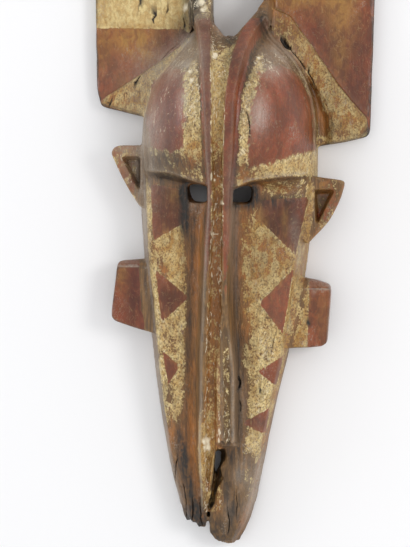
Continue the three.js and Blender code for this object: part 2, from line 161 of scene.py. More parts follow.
# Lines of the face seen from above, in millimetres: pairs of y and the line's x there
CREST_LEFT = ((-480, -44), (-425, -61), (-362, -74), (-300, -82), (-239, -88), (-178, -93), (-118, -99),
              (-58, -101), (0, -101))
CREST_RIGHT = ((-480, -2), (-450, 13), (-425, 19), (-361, 32), (-300, 45), (-238, 59), (-166, 70),
               (-94, 82), (-58, 89), (0, 95))
RIDGE_LEFT_OUTER = ((-438, -36), (-358, -38), (-235, -35), (-116, -28), (-57, -24), (-31, -24), (57, -28),
                    (116, -33), (168, -47))
RIDGE_LEFT_INNER = ((-438, -33), (-358, -32), (-235, -28), (-116, -22), (-57, -19), (57, -18), (116, -20),
                    (168, -24))
RIDGE_RIGHT_INNER = ((-356, -13), (-235, -12), (-116, -8), (57, -3), (116, 5), (142, 13), (168, 30))
RIDGE_RIGHT_OUTER = ((-356, 4), (-262, 4), (-222, 0), (-116, -1), (57, 8), (116, 19), (168, 44))
FOOT_LEFT = ((-438, -38), (-361, -51), (-235, -46), (-80, -39), (-57, -31), (-20, -30), (57, -32),
             (116, -39), (168, -56))
FOOT_RIGHT = ((-356, 10), (-235, 10), (-57, 8), (23, 11), (57, 14), (116, 31), (168, 52))
RIM_LEFT = ((-483, -50), (-380, -79), (-244, -101), (-120, -112), (-24, -114), (57, -107), (93, -91),
            (133, -57), (166, -38))
RIM_RIGHT = ((-483, 0), (-429, 27), (-305, 52), (-157, 87), (-58, 99), (40, 102), (86, 90), (122, 66),
             (166, 42))

# The lower edge of the brow, the dome's right border and the outline of the muzzle's split: x and y
BROW = ((-114, -22), (-94, -24), (-71, -26), (-53, -32), (-27, -39), (4, -43), (23, -36), (38, -33),
        (82, -29), (101, -24))
DOME_EDGE = ((101, 0), (101, 39), (97, 63), (89, 87), (78, 107), (65, 123), (50, 137), (40, 156))
BREAK = ((-31, -444), (-27, -415), (-24, -394), (-20, -358), (-5, -356), (-4, -366), (-11, -375),
         (-6, -400), (-14, -413), (-17, -428), (-27, -444))

# Red paint: outlines in millimetres, seen from above
LEFT_TRIANGLES = (
    ((-97, -38), (-56, -46), (-54, -84), (-95, -107)),
    ((-92, -141), (-51, -174), (-85, -206)),
    ((-84, -239), (-62, -259), (-78, -281)),
)
RIGHT_TRIANGLES = (
    ((31, -79), (37, -58), (92, -54), (76, -124)),
    ((74, -140), (33, -181), (61, -219)),
    ((63, -245), (31, -264), (53, -283)),
    ((46, -309), (12, -327), (40, -342)),
)
BOARD_REDS = (
    ((-175, 151), (-60, 149), (-48, 138), (-59, 133), (-80, 117), (-102, 102), (-157, 66), (-175, 52)),
    ((46, 176), (68, 165), (98, 123), (123, 86), (141, 62), (159, 41), (163, 20), (175, 20), (175, 262),
     (46, 240)),
    ((-175, 318), (-20, 356), (-20, 402), (-175, 402)),
    ((30, 372), (175, 338), (175, 490), (30, 490)),
)
DOME_REDS = (
    ((-99, 84), (-74, 101), (-53, 92), (-51, 47), (-53, 2), (-72, -1), (-94, 6), (-104, 40)),
    ((36, 92), (58, 100), (80, 90), (95, 62), (101, 2), (70, -7), (42, -17), (22, -21), (25, 40)),
)
TAB_REDS = (
    ((-160, -128), (-106, -128), (-96, -224), (-160, -224)),
    ((93, -152), (130, -152), (130, -240), (90, -240)),
)

# How many millimetres from its border a paint's distance is still told
FAR = 20

# Triangles with a darker red, and how much darker: the top left one, under the brow, partly as painted
# shade
DARK_TRIANGLES = (
    (LEFT_TRIANGLES[0], 0.45),
    (RIGHT_TRIANGLES[0], 0.6),
    (LEFT_TRIANGLES[1], 0.3),
    (LEFT_TRIANGLES[2], 0.2),
)

# Cream paint: outline, how much of it is left, and how softly it ends in millimetres
LEFT_BAND = ((-172, 62), (-164, 70), (-105, 107), (-83, 122), (-61, 138), (-52, 138), (-70, 110),
             (-98, 76), (-106, 40))
RIGHT_BAND = ((46, 182), (72, 170), (103, 127), (128, 90), (146, 66), (172, 42), (172, 26), (112, 14),
              (112, 40), (101, 72), (72, 114), (46, 146))
UNDER_RIGHT_EYE = ((10, -66), (34, -66), (32, -84), (22, -98), (10, -98))
UNDER_LEFT_EYE = ((-47, -66), (-32, -66), (-33, -90), (-47, -86))
CREAMS = (
    (((-185, 144), (-54, 144), (-54, 490), (-185, 490)), 1.12, 1.5),
    (LEFT_BAND, 0.74, 2),
    (RIGHT_BAND, 0.62, 6),
    (((98, 16), (100, 4), (175, 12), (175, 26)), 0.6, 3),
    (((30, 235), (185, 257), (185, 346), (30, 378)), 0.95, 2),
    (((-58, 92), (-46, 106), (-34, 112), (-28, 60), (-28, -38), (-58, -32), (-56, 47)), 0.74, 4),
    (((-102, 9), (-50, 9), (-53, -34), (-102, -26)), 0.46, 5),
    (((41, 92), (38, 116), (24, 110), (12, 80), (9, 30), (8, -30), (27, -20), (31, 40)), 0.76, 7),
    (((8, -24), (40, -12), (70, -2), (104, 8), (104, -30), (60, -30), (24, -38), (8, -42)), 0.8, 3),
    (((100, 50), (92, 84), (72, 112), (60, 118), (86, 80), (95, 40), (96, 0), (104, 0)), 0.45, 4),
    (((36, -38), (82, -32), (100, -30), (90, -50), (58, -56), (36, -52)), 0.4, 4),
    (((-102, -40), (-60, -46), (-58, -60), (-54, -130), (-54, -200), (-56, -262), (-60, -310),
      (-66, -328), (-78, -318), (-84, -300)), 0.76, 4),
    (((92, -54), (60, -60), (22, -92), (20, -200), (22, -262), (18, -330), (14, -362), (34, -374),
      (66, -240)), 0.78, 5),
    (((40, -76), (12, -84), (12, -262), (22, -330), (40, -330)), 0.6, 5),
    (((12, -388), (25, -384), (26, -424), (14, -426)), 0.36, 5),
    (UNDER_RIGHT_EYE, 0.4, 4),
    (UNDER_LEFT_EYE, 0.28, 4),
)

# Cream fields that are stained, and how much
STAINED_CREAMS = (
    (UNDER_RIGHT_EYE, 0.4),
    (UNDER_LEFT_EYE, 0.5),
    (LEFT_BAND, 0.6),
    (RIGHT_BAND, 0.9),
)

# Long cracks and splits: points, width and depth in millimetres
CRACKS = (
    (((19, 48), (23, 38), (25, 29), (24, 10)), 1.5, 3.0),
    (((-47, 168), (-48, 152), (-53, 144)), 2.8, 4.5),
    (((-60, 138), (-80, 121), (-92, 108)), 0.9, 1.0),
    (((56, 137), (62, 130), (70, 122)), 5.0, 5.0),
    (((68, 124), (78, 112), (87, 100), (95, 88), (99, 76)), 1.8, 2.5),
    (((-116, 190), (-114, 182), (-116, 175)), 2.4, 1.8),
    (((-98, 173), (-95, 166), (-99, 161), (-97, 155)), 3.4, 2.0),
    (((-81, 178), (-80, 172), (-83, 166)), 2.6, 1.8),
    (((-131, 166), (-131, 161)), 1.2, 0.8),
    (((-112, 95), (-118, 86), (-122, 84)), 2.4, 1.6),
    (((-110, 80), (-116, 72)), 1.6, 1.0),
    (((8, -268), (10, -276), (8, -290)), 2.8, 4.0),
    (((9, -298), (11, -306), (10, -314)), 1.6, 2.0),
    (((20, -362), (27, -366), (32, -360)), 0.9, 0.8),
    (((-66, -366), (-70, -384), (-71, -404)), 1.6, 4.0),
    (((-60, -402), (-57, -428), (-58, -450)), 1.8, 4.0),
    (((-49, -418), (-48, -440), (-50, -452)), 1.8, 4.0),
    (((-40, -426), (-39, -446), (-36, -458)), 1.6, 3.5),
    (((-6, -430), (-4, -452), (-6, -468)), 1.6, 2.5),
    (((4, -408), (6, -430), (4, -446)), 1.4, 2.0),
    (((55, -213), (50, -230), (45, -248)), 1.1, 1.6),
    (((-147, 68), (-150, 60), (-152, 54)), 2.4, 1.8),
    (((-128, 76), (-133, 68), (-136, 66)), 1.8, 1.2),
    (((-62, 167), (-60, 158), (-58, 150)), 1.4, 2.5),
)

# Knocks and a nail hole: place, radius and depth in millimetres
DENTS = (
    (35, -288, 2.0, 2.5), (-16, 110, 4.0, 1.2), (34, 108, 2.0, 0.8), (92, -206, 5.0, 1.2),
    (137, 47, 4.0, 1.0), (-50, 96, 3.5, 0.8),
)

# Chips down to the white ground: place and radius in millimetres
WHITE_CHIPS = (
    (-30, -348, 4.0), (-29, -356, 4.2), (-20, -96, 1.6), (-12, -164, 1.2), (-16, 110, 3.0), (34, 108, 1.5),
    (-36, 180, 3.6), (-34, 170, 3.0), (-59, 176, 2.6), (137, 46, 1.8), (-46, 92, 2.0), (-43, 82, 1.6),
    (84, -204, 1.6), (-8, -61, 1.8), (-12, -62, 1.2), (-8, -40, 1.2), (-17, -34, 1.1),
)

# Six tables of soft spots: x, y, half width, half height and how strong. First, cream that is lost
CREAM_GAPS = (
    (-93, -114, 4, 5, 0.5), (-86, -134, 4, 8, 0.8), (-81, -144, 4, 6, 0.7), (-76, -298, 5, 14, 0.6),
    (17, -221, 7, 13, 0.6), (14, -275, 8, 24, 0.4), (-44, -18, 16, 12, 0.6), (62, 150, 16, 30, 0.2),
    (48, -122, 30, 30, 0.2), (20, -26, 18, 12, 0.5), (-72, -230, 14, 10, 0.2), (36, -200, 18, 30, 0.1),
    (-150, 62, 30, 14, 0.15), (-84, -12, 20, 10, 0.3), (60, -186, 5, 8, 0.2), (-60, -212, 5, 10, 0.3),
)

# Second, a yellow-brown stain on all the paints
OCHRE_SPOTS = (
    (-122, 136, 26, 16, 1.3), (-160, 124, 8, 30, 0.5), (-100, 156, 40, 7, 0.5), (-64, 152, 12, 12, 0.5),
    (-110, 116, 16, 10, 0.7), (-136, 84, 10, 20, 0.4), (76, 190, 44, 20, 1.1), (132, 170, 18, 40, 0.8),
    (128, 110, 9, 24, 0.4), (58, 148, 8, 10, 0.6), (20, -74, 14, 14, 1.4), (63, -86, 3.5, 14, 0.8),
    (-68, -53, 9, 8, 0.7), (-40, -78, 7, 14, 0.8), (60, -44, 26, 9, 0.9), (108, -190, 12, 40, 0.3),
    (-160, 170, 12, 30, 0.5), (-70, 175, 10, 24, 0.4), (-134, -150, 6, 20, 0.5), (-126, -6, 14, 16, 0.6),
    (110, -42, 9, 14, 0.6), (22, -92, 14, 20, 0.6), (108, 56, 9, 34, 0.7), (12, -450, 10, 14, 0.6),
    (-46, -355, 18, 30, 0.5), (14, -180, 9, 60, 0.5), (-75, -346, 6, 16, 0.7), (-40, -110, 6, 30, 0.6),
)

# Third, a yellow-brown stain that leaves the red out
CREAM_STAINS = (
    (22, -80, 14, 18, 1.2), (-40, -76, 9, 16, 1.2), (46, -128, 34, 44, 1.2), (46, -200, 20, 24, 0.5),
    (120, 60, 44, 60, 0.9), (-140, 62, 30, 20, 0.8), (60, -18, 44, 11, 0.7), (26, -104, 18, 40, 0.7),
    (-42, -6, 16, 26, 1.3), (22, -28, 18, 14, 1.3), (-74, -120, 20, 60, 0.5), (60, 130, 20, 30, 0.7),
    (-80, 12, 24, 12, 0.5), (60, -235, 20, 40, 0.3), (30, 40, 10, 50, 0.4),
)

# Fourth, a darker red
DEEP_SPOTS = (
    (-84, 133, 13, 9, 0.9), (-92, 119, 10, 7, 0.7), (-146, 126, 10, 12, 0.3), (-76, -176, 14, 26, 0.9),
    (-75, -262, 10, 14, 0.4), (124, -34, 10, 24, 0.3), (46, -78, 16, 22, 1.0), (-80, -62, 18, 16, 0.6),
    (-70, 60, 12, 40, 0.35), (82, 60, 18, 40, 0.2), (120, 140, 40, 50, 0.6), (150, 100, 20, 60, 0.5),
    (-68, 16, 14, 26, 0.6), (-116, -168, 14, 40, 0.8), (32, -327, 14, 14, 0.6), (12, 128, 9, 30, 0.5),
    (36, 150, 9, 16, 0.5), (50, -264, 14, 16, 0.4), (-76, -76, 24, 34, 0.4), (-82, 50, 24, 50, 0.4),
    (4, -60, 9, 70, 0.9), (-150, 100, 14, 26, 0.2), (2, -250, 10, 60, 0.5), (66, -86, 30, 34, 0.3),
)

# Fifth, grey dust, and painted sheen and highlights: on the dome's left side, a highlight on its right
# half, and lit edges below the left eye hole and on the left ear's rim
DUST_AND_SHEEN_SPOTS = (
    (-106, 20, 24, 64, 0.85), (-74, 104, 36, 22, 0.8), (-12, 146, 7, 13, 0.7), (8, -392, 8, 14, 0.4),
    (34, -404, 8, 34, 0.5), (-48, 114, 16, 22, 0.8), (52, 112, 24, 22, 1.1), (-52, 62, 7, 24, 0.5),
    (-39, -61, 10, 2, 0.5), (-60, 134, 12, 10, 0.8), (13, -300, 5, 34, 0.5), (-112, -50, 6, 60, 0.3),
    (80, -120, 6, 22, 0.6), (74, -92, 6, 14, 0.35), (-124, -14, 16, 18, 0.25), (-134, 3, 12, 6, 0.5),
    (20, -440, 8, 20, 0.25), (-150, 92, 24, 26, 0.13), (44, 160, 8, 14, 0.35), (34, 44, 12, 26, 0.6),
    (22, -392, 12, 26, 0.4), (10, -440, 12, 14, 0.2), (4, -64, 6, 60, 0.4), (33, -327, 8, 8, 0.15),
    (-42, -66, 11, 2.5, 0.5), (-6, -434, 6, 20, 0.3),
)

# Sixth, grime, and painted shade round the eye holes, under the strip beside the right eye and in the notch
GRIME_AND_SHADE_SPOTS = (
    (-56, -50, 7, 12, 1.9), (-55, -82, 7, 20, 1.5), (-30, -80, 4, 18, 0.7), (-79, -34, 22, 7, 0.7),
    (-86, -50, 8, 5, 0.6), (27, -50, 5, 10, 2.2), (24, -60, 6, 4, 1.2), (14, -65, 16, 3.5, 0.8),
    (58, -59, 26, 5, 0.8), (66, -38, 6, 6, 0.5), (36, 152, 7, 17, 0.95), (-2, 130, 9, 8, 0.9),
    (-66, 148, 11, 14, 0.6), (16, -226, 8, 12, 0.5), (20, -250, 8, 8, 0.3), (-88, -130, 6, 9, 0.45),
    (-62, -350, 5, 20, 0.6), (-57, -380, 6, 22, 0.9), (-51, -408, 7, 22, 0.9), (-46, -434, 9, 20, 0.9),
    (0, -366, 7, 10, 0.9), (-67, -345, 4.5, 22, 0.8), (-62, -378, 5, 24, 0.7), (-78, -6, 26, 16, 0.36),
    (-78, -70, 20, 26, 0.22), (66, -88, 24, 28, 0.26), (44, -132, 30, 40, 0.3), (163, 22, 6, 12, 0.6),
    (-170, 58, 5, 12, 0.5), (114, -40, 14, 26, 0.22), (32, -327, 16, 9, 0.38), (-82, -300, 5, 22, 0.2),
    (27, -53, 4, 7, 0.6), (-32, -162, 17, 52, 0.17), (-40, -78, 9, 14, 0.25), (20, -78, 12, 12, 0.15),
    (126, 70, 34, 50, 0.2), (98, -190, 9, 40, 0.3), (-42, -18, 14, 12, 0.5), (22, -24, 16, 12, 0.36),
    (66, -44, 30, 9, 0.12), (4, 106, 9, 28, 0.5), (-42, 182, 12, 16, 0.3), (130, 26, 34, 10, 0.35),
    (-6, -400, 6, 30, 0.8), (2, -440, 9, 20, 0.7), (-52, -452, 24, 13, 1.0), (-16, -466, 14, 10, 0.5),
    (-84, -12, 24, 13, 0.28), (-60, -12, 10, 10, 0.3), (26, 78, 4, 30, 0.4), (-34, -420, 5, 24, 0.4),
    (-88, -330, 7, 30, 0.3), (118, 60, 8, 40, 0.25), (60, 150, 8, 16, 0.3),
)

# Soft spots with white flecks: anywhere, and off the keel
FLECK_SPOTS = (
    (-56, 112, 20, 18, 0.6), (-40, 70, 10, 40, 0.5),
)
DOME_FLECK_SPOTS = (
    (52, 106, 22, 20, 0.6), (-80, 50, 24, 50, 0.34), (60, 46, 34, 50, 0.2),
)

# Noises of the paint: size in millimetres, how much y counts, detail, warp and how far it is moved
FIBRE_NOISE = (3.2, 0.07, 4, 0.4, 0.0)
FINE_FIBRE_NOISE = (1.1, 0.05, 2, 0.2, 3.0)
CLOUD_NOISE = (26, 0.5, 3, 0.5, 7.0)
LARGE_NOISE = (18, 0.7, 4, 1.2, 11.0)
MIDDLE_NOISE = (6.5, 0.7, 5, 0.9, 13.0)
SMALL_NOISE = (1.9, 0.8, 4, 0.6, 17.0)
PALE_NOISE = (3.6, 0.7, 4, 0.8, 61.0)
STAIN_NOISE = (15, 0.8, 3, 0.6, 51.0)
HAIR_NOISE = (15, 0.5, 2, 1.5, 43.0)
FILM_NOISE = (9, 0.5, 4, 1.0, 23.0)
FINE_FILM_NOISE = (3.4, 0.35, 3, 0.5, 29.0)
SPECK_NOISE = (2.2, 0.6, 4, 1.5, 37.0)
DASH_NOISE = (2.4, 0.3, 2, 0.8, 47.0)

# Colours as they look in daylight, in sRGB out of 255
CREAM = (218, 195, 136)
OCHRE = (170, 126, 58)
WOOD_LIGHT = (138, 100, 54)
WOOD_DARK = (66, 46, 28)
ORANGE = (166, 104, 40)
RED = (144, 68, 36)
RED_DARK = (98, 48, 26)
MAROON = (74, 27, 14)
# The grey of dust and of painted sheen
GREY_DUST_AND_SHEEN = (164, 152, 138)
# The dark of grime and of painted shade
GRIME_AND_SHADE_COLOUR = (36, 29, 22)
WHITE = (232, 220, 192)
RAW_WOOD = (146, 112, 72)
DIRT = (94, 68, 32)
UNDER = (98, 72, 38)
RUBBED = (172, 140, 94)


# The camera and the studio

def camera():
    back = Vector((math.sin(YAW) * math.cos(PITCH), math.sin(PITCH), math.cos(YAW) * math.cos(PITCH)))
    up = (Vector((0, 1, 0)) - back.y * back).normalized()
    right = up.cross(back)
    data = bpy.data.cameras.new("camera")
    data.sensor_width = SENSOR
    data.lens = SENSOR * DISTANCE / (FRAME_HIGH_PX * MM_PER_PX / MM_PER_M)
    made = bpy.data.objects.new("camera", data)
    turn = Matrix((right, up, back)).transposed().to_4x4()
    made.matrix_world = Matrix.Translation(TARGET + DISTANCE * back) @ turn
    bpy.context.scene.collection.objects.link(made)
    bpy.context.scene.camera = made


def lamp(name, place, size, power, colour):
    data = bpy.data.lights.new(name, "AREA")
    data.shape = "DISK"
    data.size = size
    data.energy = power
    data.color = colour
    made = bpy.data.objects.new(name, data)
    made.location = place
    made.rotation_euler = (Vector(LIT_PLACE) - Vector(place)).to_track_quat("-Z", "Y").to_euler()
    bpy.context.scene.collection.objects.link(made)


def lights():
    world = bpy.data.worlds.new("studio")
    world.use_nodes = True
    world.node_tree.nodes["Background"].inputs["Color"].default_value = (1, 1, 1, 1)
    world.node_tree.nodes["Background"].inputs["Strength"].default_value = ROOM_STRENGTH
    bpy.context.scene.world = world
    for settings in LAMPS:
        lamp(*settings)


def floor():
    mesh = bpy.data.meshes.new("floor")
    signs = ((-1, -1), (1, -1), (1, 1), (-1, 1))
    corners = [(x * FLOOR_REACH, y * FLOOR_REACH, FLOOR_Z) for x, y in signs]
    mesh.from_pydata(corners, [], [(0, 1, 2, 3)])
    made = bpy.data.objects.new("floor", mesh)
    bpy.context.scene.collection.objects.link(made)
    mat = bpy.data.materials.new("floor")
    mat.use_nodes = True
    shader = mat.node_tree.nodes["Principled BSDF"]
    shader.inputs["Base Color"].default_value = FLOOR_COLOUR
    shader.inputs["Roughness"].default_value = FLOOR_ROUGHNESS
    mesh.materials.append(mat)


# Sums over all points at once

def ease(low, high, value):
    """0 up to low, 1 from high on and smooth between them, or the other way round."""
    t = np.clip((value - low) / (high - low), 0, 1)
    return t * t * (3 - 2 * t)


def stripe(value, low, high, soft):
    """1 between low and high, fading to 0 on both sides."""
    return ease(low - soft, low + soft, value) * ease(high + soft, high - soft, value)


def along(stations, y):
    return np.interp(y, *zip(*stations))


def chance(cell, seed):
    """A number from -1 to 1 for each cell of a grid, always the same one."""
    x, y, z = cell.T
    mixed = (x * MIX_X) ^ (y * MIX_Y) ^ (z * MIX_Z) ^ (seed * MIX_SEED)
    mixed = ((mixed ^ (mixed >> 13)) * MIX_AGAIN) & LOW_32_BITS
    mixed = ((mixed ^ (mixed >> 15)) * MIX_LAST) & LOW_32_BITS
    return ((mixed >> 9) & LOW_16_BITS) / (LOW_16_BITS / 2) - 1


def waves(points, size, seed):
    """Smooth random waves from -1 to 1, one for about each size in millimetres."""
    place = points / np.asarray(size, float)
    cell = np.floor(place).astype(np.int64)
    part = place - cell
    part = part * part * (3 - 2 * part)
    total = np.zeros(len(points))
    for corner in np.ndindex(2, 2, 2):
        near = np.where(np.array(corner) == 1, part, 1 - part).prod(axis=1)
        total += near * chance(cell + np.array(corner), seed)
    return total


def scoops(points, size, seed):
    """Tool marks: 0 in the middle of each, about 1 where two marks meet."""
    place = points / np.asarray(size, float)
    cell = np.floor(place).astype(np.int64)
    nearest = np.full(len(points), np.inf)
    for step in np.ndindex(3, 3, 3):
        other = cell + np.array(step) - 1
        middle = np.stack([chance(other, seed + axis) for axis in range(3)], axis=1) * SCOOP_SCATTER + 0.5
        nearest = np.minimum(nearest, np.sum((other + middle - place) ** 2, axis=1))
    return np.sqrt(nearest)


def to_line(flat, corners):
    """How far each point is from a line through corners, and how far along the line, seen from above."""
    best = np.full(len(flat), np.inf)
    share = np.zeros(len(flat))
    for i, (a, b) in enumerate(zip(corners, corners[1:])):
        a = np.array(a, float)
        way = np.array(b, float) - a
        t = np.clip((flat - a) @ way / (way @ way), 0, 1)
        away = np.linalg.norm(flat - a - t[:, None] * way, axis=1)
        closer = away < best
        best[closer] = away[closer]
        share[closer] = (i + t[closer]) / (len(corners) - 1)
    return best, share


def within(flat, outline):
    """Millimetres from an outline seen from above, positive inside it."""
    away, _ = to_line(flat, [*outline, outline[0]])
    x, y = flat.T
    odd = np.zeros(len(flat), bool)
    for (x0, y0), (x1, y1) in zip(outline, [*outline[1:], outline[0]]):
        if y0 != y1:
            odd ^= ((y0 > y) != (y1 > y)) & (x < (x1 - x0) * (y - y0) / (y1 - y0) + x0)
    return np.where(odd, away, -away)


def within_soft(flat, outline):
    return ease(-2, 2, within(flat, outline))


def blob(flat, x, y, wide, high):
    """1 at a place and fading to 0 round it."""
    return np.exp(-(((flat[:, 0] - x) / wide) ** 2) - ((flat[:, 1] - y) / high) ** 2)


def blobs(flat, spots):
    return sum(strong * blob(flat, *spot) for *spot, strong in spots)


# The mesh read and written as arrays

def applied(piece):
    depsgraph = bpy.context.evaluated_depsgraph_get()
    made = bpy.data.meshes.new_from_object(piece.evaluated_get(depsgraph))
    piece.modifiers.clear()
    piece.data = made


def points_of(mesh):
    places = np.empty(len(mesh.vertices) * 3, np.float32)
    mesh.vertices.foreach_get("co", places)
    return places.reshape(-1, 3).astype(float) / MM


def normals_of(mesh):
    ways = np.empty(len(mesh.vertices) * 3, np.float32)
    mesh.vertex_normals.foreach_get("vector", ways)
    return ways.reshape(-1, 3).astype(float)


def move(mesh, points):
    mesh.vertices.foreach_set("co", (points * MM).astype(np.float32).ravel())
    mesh.update()


def keep(mesh, name, values):
    attribute = mesh.attributes.new(name, "FLOAT", "POINT")
    attribute.data.foreach_set("value", np.asarray(values, np.float32))


def kept(mesh, name):
    values = np.empty(len(mesh.vertices), np.float32)
    mesh.attributes[name].data.foreach_get("value", values)
    return values.astype(float)


def links_of(mesh):
    ends = np.empty(len(mesh.edges) * 2, np.int32)
    mesh.edges.foreach_get("vertices", ends)
    return ends.reshape(-1, 2)


# The form of the mesh

def spread(values, links, weight, rounds):
    """Each point's values move towards the mean of its neighbours', by its weight, so many times."""
    count = len(values)
    weight = np.broadcast_to(weight, count)[:, None]
    degree = np.bincount(links.ravel(), minlength=count)[:, None]
    for _ in range(rounds):
        middle = np.zeros_like(values)
        for here, there in ((0, 1), (1, 0)):
            for column in range(values.shape[1]):
                near = values[links[:, there], column]
                middle[:, column] += np.bincount(links[:, here], near, minlength=count)
        values = values + weight * (middle / degree - values)
    return values


def sharp_points(mesh):
    """Points along the solid's sharp edges."""
    mesh.calc_loop_triangles()
    corners = np.empty(len(mesh.loop_triangles) * 3, np.int32)
    mesh.loop_triangles.foreach_get("vertices", corners)
    places, shared = np.unique(points_of(mesh).round(2), axis=0, return_inverse=True)
    faces = shared.ravel()[corners].reshape(-1, 3)
    a, b, c = (places[faces[:, i]] for i in range(3))
    ways = np.cross(b - a, c - a)
    ways /= np.maximum(np.linalg.norm(ways, axis=1), TINY)[:, None]
    edges = np.sort(np.concatenate([faces[:, [0, 1]], faces[:, [1, 2]], faces[:, [2, 0]]]), axis=1)
    owner = np.tile(np.arange(len(faces)), 3)
    order = np.lexsort((edges[:, 1], edges[:, 0]))
    edges = edges[order]
    owner = owner[order]
    pair = np.flatnonzero((edges[1:] == edges[:-1]).all(axis=1))
    bend = np.sum(ways[owner[pair]] * ways[owner[pair + 1]], axis=1)
    found = []
    for start, end in places[edges[pair[bend < math.cos(SHARP)]]]:
        count = max(2, math.ceil(np.linalg.norm(end - start) / EDGE_STEP) + 1)
        found.extend(start + (end - start) * t for t in np.linspace(0, 1, count))
    return found


def away_from(points, places):
    """How far each point is from the nearest of the places."""
    tree = KDTree(len(places))
    for i, place in enumerate(places):
        tree.insert(place, i)
    tree.balance()
    return np.array([tree.find(point)[2] for point in points])


def covered(node, points, ways):
    """1 for points that have wood above them: the walls of the hollow and of the eye holes."""
    mesh = node.data
    tree = BVHTree.FromPolygons([v.co for v in mesh.vertices], [tuple(p.vertices) for p in mesh.polygons])
    up = Vector((0, 0, 1))
    found = np.zeros(len(points))
    for i in np.flatnonzero(ways[:, 2] < LEANING):
        start = Vector(points[i] + OFF_SURFACE * ways[i] + OFF_ABOVE) * MM
        found[i] = tree.ray_cast(start, up)[0] is not None
    return found


def marks(points, ways, hidden, convex):
    """How far each point moves out, in millimetres: tool marks, fibres, chips and splinters."""
    _, y, z = points.T
    worn = ease(-330, -420, y) * (1 - hidden)
    shift = SWELL_DEEP * waves(points, *SWELLS) + RIPPLE_DEEP * waves(points, *RIPPLES)
    shift += (FIBRE_DEEP + FIBRE_DEEP_WORN * worn) * waves(points, *FIBRES)
    shift += (scoops(points, *SCOOPS) - SCOOP_LEVEL) * (SCOOP_DEEP + SCOOP_DEEP_BEHIND * hidden)
    shift += WORN_RIPPLE_DEEP * worn * waves(points, *WORN_RIPPLES)
    shift -= PIT_DEEP * worn * ease(0.35, 0.7, waves(points, *WORN_PITS))
    chipped = ease(0.05, 0.25, convex) * ease(0.25, 0.55, waves(points, *CHIPS))
    shift -= CHIP_DEEP * chipped * (1 - hidden)
    broken = ease(0.35, 0.8, -ways[:, 1]) * ease(-425, -440, y)
    gap = ease(4, 0, np.abs(within(points[:, :2], BREAK))) * ease(0.5, 0.2, ways[:, 2])
    rough = SPLINTER_DEEP * waves(points, *SPLINTERS) + CRUMB_DEEP * waves(points, *CRUMBS)
    shift += np.maximum(broken, gap) * rough
    return shift * ease(0.2, 3.0, z)


def carve(mesh, node):
    """Rounds the facets, adds the marks, and keeps what the paint asks: edges, recesses, what is hidden."""
    points = points_of(mesh)
    links = links_of(mesh)
    clear = away_from(points, sharp_points(node.data))
    points = spread(points, links, SHARE, ALL_ROUNDS)
    points = spread(points, links, SHARE * ease(*FACET_CLEAR, clear), FACET_ROUNDS)
    move(mesh, points)
    ways = normals_of(mesh)
    hidden = spread(covered(node, points, ways)[:, None], links, SHARE, HIDDEN_ROUNDS)[:, 0]
    hidden = np.maximum(hidden, ease(-0.3, -0.7, ways[:, 2]))
    convex = np.sum((points - spread(points, links, SHARE, CONVEX_ROUNDS)) * ways, axis=1)
    moved = points + marks(points, ways, hidden, convex)[:, None] * ways
    move(mesh, np.clip(moved, *(np.array(corner) / MM for corner in cad_box)))
    points = points_of(mesh)
    ways = normals_of(mesh)
    near = spread(points, links, SHARE, NEAR_ROUNDS)
    far = spread(near, links, SHARE, FAR_ROUNDS)
    keep(mesh, "edge", np.sum((points - near) * ways, axis=1))
    keep(mesh, "recess", np.sum((far - points) * ways, axis=1))
    keep(mesh, "hidden", hidden)


def thinned(piece):
    triangles = sum(len(p.vertices) - 2 for p in piece.data.polygons)
    fewer = piece.modifiers.new("fewer", "DECIMATE")
    fewer.ratio = min(1.0, TRIANGLES / triangles)
    applied(piece)


def drop_flaps(form):
    """Takes out triangles that lie on each other with the same three corners."""
    by_corners = {}
    for face in form.faces:
        by_corners.setdefault(frozenset(face.verts), []).append(face)
    flaps = [face for faces in by_corners.values() if len(faces) > 1 for face in faces]
    bmesh.ops.delete(form, geom=flaps, context="FACES")


def refine(piece):
    """Finer triangles along the cracks and dents. A dent is taken as a very short line."""
    lines = [(corners, CRACK_REACH) for corners, _, _ in CRACKS]
    lines += [(((x, y), (x + DENT_LONG, y)), radius + DENT_REACH) for x, y, radius, _ in DENTS]
    for _ in range(CRACK_ROUNDS):
        flat = points_of(piece.data)[:, :2]
        near = np.zeros(len(flat), bool)
        for corners, reach in lines:
            near |= to_line(flat, corners)[0] < reach
        near &= (normals_of(piece.data)[:, 2] > FINE_FACING_UP) & (kept(piece.data, "hidden") < 0.5)
        form = bmesh.new()
        form.from_mesh(piece.data)
        form.verts.ensure_lookup_table()
        picked = [e for e in form.edges if near[e.verts[0].index] and near[e.verts[1].index]]
        bmesh.ops.subdivide_edges(form, edges=picked, cuts=1, use_grid_fill=True)
        bmesh.ops.triangulate(form, faces=[f for f in form.faces if len(f.verts) > 3])
        drop_flaps(form)
        form.to_mesh(piece.data)
        form.free()


def crack(mesh):
    """Presses the cracks and dents into what faces up."""
    points = points_of(mesh)
    ways = normals_of(mesh)
    depth = np.zeros(len(points))
    bends = np.stack([waves(points, *bend) for bend in CRACK_BENDS], axis=1) * CRACK_BEND
    for corners, width, deep in CRACKS:
        away, share = to_line(points[:, :2] + bends, corners)
        taper = np.sqrt(np.clip(4 * share * (1 - share), CRACK_TIP, 1))
        inward = np.clip(1 - away / (0.5 * width * taper), 0, 1)
        depth = np.maximum(depth, deep * taper * inward**CRACK_SIDES)
    for x, y, radius, deep in DENTS:
        away = np.linalg.norm(points[:, :2] - (x, y), axis=1)
        depth = np.maximum(depth, deep * np.clip(1 - (away / radius) ** 2, 0, 1))
    depth *= (ways[:, 2] > CRACKED_FACING_UP) & (kept(mesh, "hidden") < 0.5)
    keep(mesh, "crack", depth)
    move(mesh, points - depth[:, None] * ways)


# Where each paint lies

